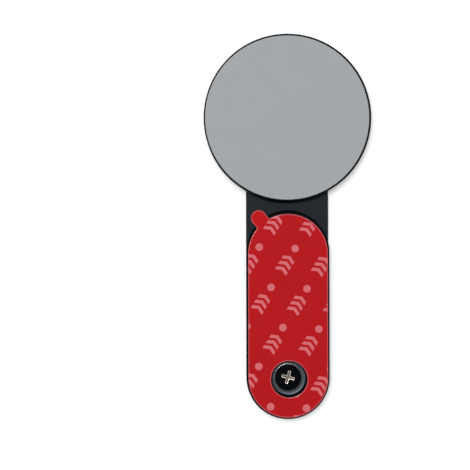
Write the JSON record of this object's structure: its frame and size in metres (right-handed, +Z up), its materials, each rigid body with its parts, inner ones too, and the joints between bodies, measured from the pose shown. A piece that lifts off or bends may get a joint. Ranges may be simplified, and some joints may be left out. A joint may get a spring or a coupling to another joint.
{
  "type": "magnetic phone holder",
  "caption": "Flat folding side holder for a laptop: a round magnet cup on an arm that swings on a screw pivot out from an adhesive base plate.",
  "frame": {"origin": "where the pivot's axis meets the arm's back face, which is the face that the holder lies on", "axes": "+Y from the pivot to the magnet cup, +Z up from the arm's back towards the grip pad and the liner, +X across the arm"},
  "size_m": [0.056, 0.1287, 0.0084],
  "materials": {
    "black_anodised": "bead blasted and black anodised, satin",
    "grey_silicone": "matte silicone skin",
    "clear_film": "thin double-sided film",
    "black_moulding": "moulded, as it leaves the tool",
    "plated_steel": "zinc plated",
    "dark_nylon": "smooth",
    "blued_steel": "blued spring steel, oiled",
    "spring_steel": "oiled spring steel",
    "blackened_steel": "black oxide head, bare metal in the cross",
    "dark_foam": "acrylic foam",
    "red_film": "smooth polythene film",
    "nickel_plate": "nickel plated magnets"
  },
  "bodies": {
    "base": {"base_plate": "black_anodised", "slip_washer": "dark_nylon", "foam_tape": "dark_foam", "release_liner": "red_film"},
    "arm": {"arm": "black_anodised", "shield_ring": "plated_steel", "magnet_carrier": "black_moulding", "pad_film": "clear_film", "grip_pad": "grey_silicone", "disc_spring": "spring_steel", "dished_washer": "blued_steel", "pivot_screw": "blackened_steel", "magnet_01": "nickel_plate", "magnet_02": "nickel_plate", "magnet_03": "nickel_plate", "magnet_04": "nickel_plate", "magnet_05": "nickel_plate", "magnet_06": "nickel_plate", "magnet_07": "nickel_plate", "magnet_08": "nickel_plate", "magnet_09": "nickel_plate", "magnet_10": "nickel_plate", "magnet_11": "nickel_plate", "magnet_12": "nickel_plate", "magnet_13": "nickel_plate", "magnet_14": "nickel_plate", "magnet_15": "nickel_plate", "magnet_16": "nickel_plate"}
  },
  "joints": [
    {"name": "arm_swing", "type": "hinge", "parent": "base", "child": "arm", "pos_m": [0, 0, 0.0035], "axis": [0, 0, 1], "continuous": true}
  ]
}
